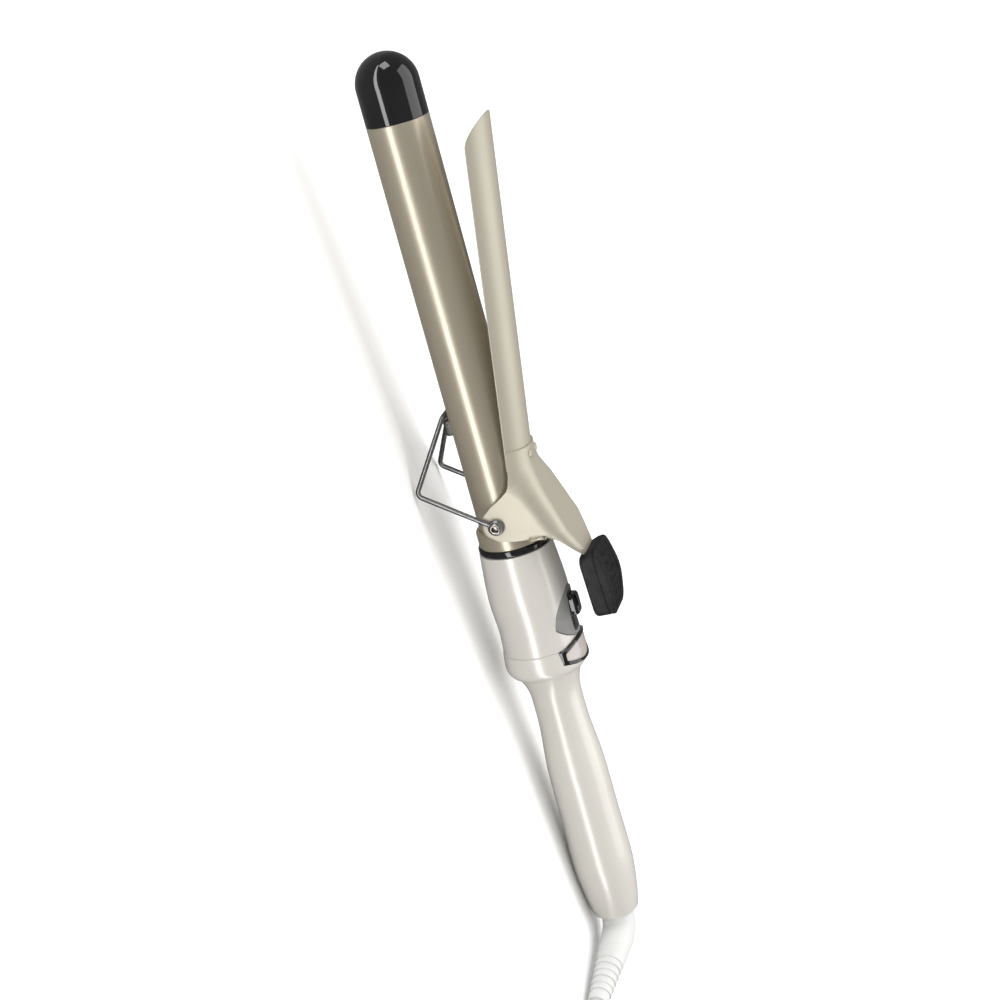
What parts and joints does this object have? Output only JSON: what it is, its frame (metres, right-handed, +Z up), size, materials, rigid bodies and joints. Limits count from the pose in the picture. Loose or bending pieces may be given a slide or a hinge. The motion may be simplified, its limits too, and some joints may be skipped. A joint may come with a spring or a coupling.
{
  "type": "curling iron",
  "caption": "Hair curling iron with a round heated barrel, a sprung clamp with a thumb rest, a wire stand, a slide switch, an indicator window and a swivel mains cord.",
  "frame": {"origin": "centre of the underside of the iron's own box (without its cord), on the surface that it lies on", "axes": "+X towards the barrel's tip, +Z up, +Y to the side where the cord leaves; the iron leans on its wire stand with the tip raised"},
  "size_m": [0.5009, 0.1101, 0.0788],
  "materials": {
    "barrel_coating": "champagne satin metallic coating",
    "clamp_coating": "champagne satin metallic coating",
    "gloss_black": "gloss",
    "pearl_plastic": "pearl white, satin gloss",
    "grey_plastic": "fine matt texture",
    "black_rubber": "matt",
    "window_lens": "translucent gloss",
    "lamp": "translucent",
    "stand_steel": "drawn wire",
    "rivet_steel": "polished",
    "screw_steel": "plain",
    "heater_aluminium": "extruded",
    "heater_ceramic": "matt",
    "board_green": "solder mask",
    "wire_sleeve": "woven sleeve",
    "contact_brass": "plain",
    "cord_grey": "satin",
    "plug_grey": "satin"
  },
  "bodies": {
    "iron": {"barrel_tube": "barrel_coating", "tip_cap": "gloss_black", "heater_holder_upper": "heater_aluminium", "heater_holder_lower": "heater_aluminium", "heater_ceramic": "heater_ceramic", "heater_wires": "wire_sleeve", "thermal_fuse": "contact_brass", "barrel_ferrule": "barrel_coating", "seal_ring": "gloss_black", "upper_handle_left": "pearl_plastic", "upper_handle_right": "pearl_plastic", "collar_ring": "pearl_plastic", "lower_handle_left": "pearl_plastic", "lower_handle_right": "pearl_plastic", "handle_screws": "screw_steel", "switch_plate": "grey_plastic", "switch_body": "gloss_black", "indicator_frame": "gloss_black", "indicator_lens": "window_lens", "indicator_lamp": "lamp", "circuit_board": "board_green", "mains_wires": "wire_sleeve", "swivel_bush": "grey_plastic", "contact_brushes": "contact_brass", "pivot_bushes": "rivet_steel", "pivot_rivets": "rivet_steel", "stand_catch": "clamp_coating"},
    "clamp": {"clamp_tongue": "clamp_coating", "clamp_bracket": "clamp_coating", "tongue_rivets": "rivet_steel", "thumb_rest_base": "black_rubber", "thumb_rest_grip": "black_rubber", "thumb_rest_screw": "screw_steel", "torsion_spring": "screw_steel"},
    "stand": {"stand_wire": "stand_steel"},
    "slider": {"switch_slider": "gloss_black"},
    "swivel": {"swivel_core": "cord_grey", "slip_rings": "contact_brass", "strain_relief": "cord_grey", "cord_lead": "cord_grey", "cord_coil": "cord_grey", "coil_tie": "gloss_black", "plug_body": "plug_grey", "plug_pins": "rivet_steel"}
  },
  "joints": [
    {"name": "clamp_hinge", "type": "hinge", "parent": "iron", "child": "clamp", "pos_m": [0.00036, 0, 0.02833], "axis": [0, -1, 0], "range_deg": [-7.9, 8], "stiffness_Nm_per_rad": 0.65, "deforming": ["torsion_spring"]},
    {"name": "stand_hinge", "type": "hinge", "parent": "iron", "child": "stand", "pos_m": [0.00036, 0, 0.02833], "axis": [0, 1, 0], "range_deg": [0, 85]},
    {"name": "switch_slide", "type": "slide", "parent": "iron", "child": "slider", "axis": [-0.9959, 0, -0.091], "range_m": [0, 0.005]},
    {"name": "cord_swivel", "type": "hinge", "parent": "iron", "child": "swivel", "pos_m": [-0.17889, 0, 0.01195], "axis": [0.9959, 0, 0.091], "continuous": true}
  ]
}
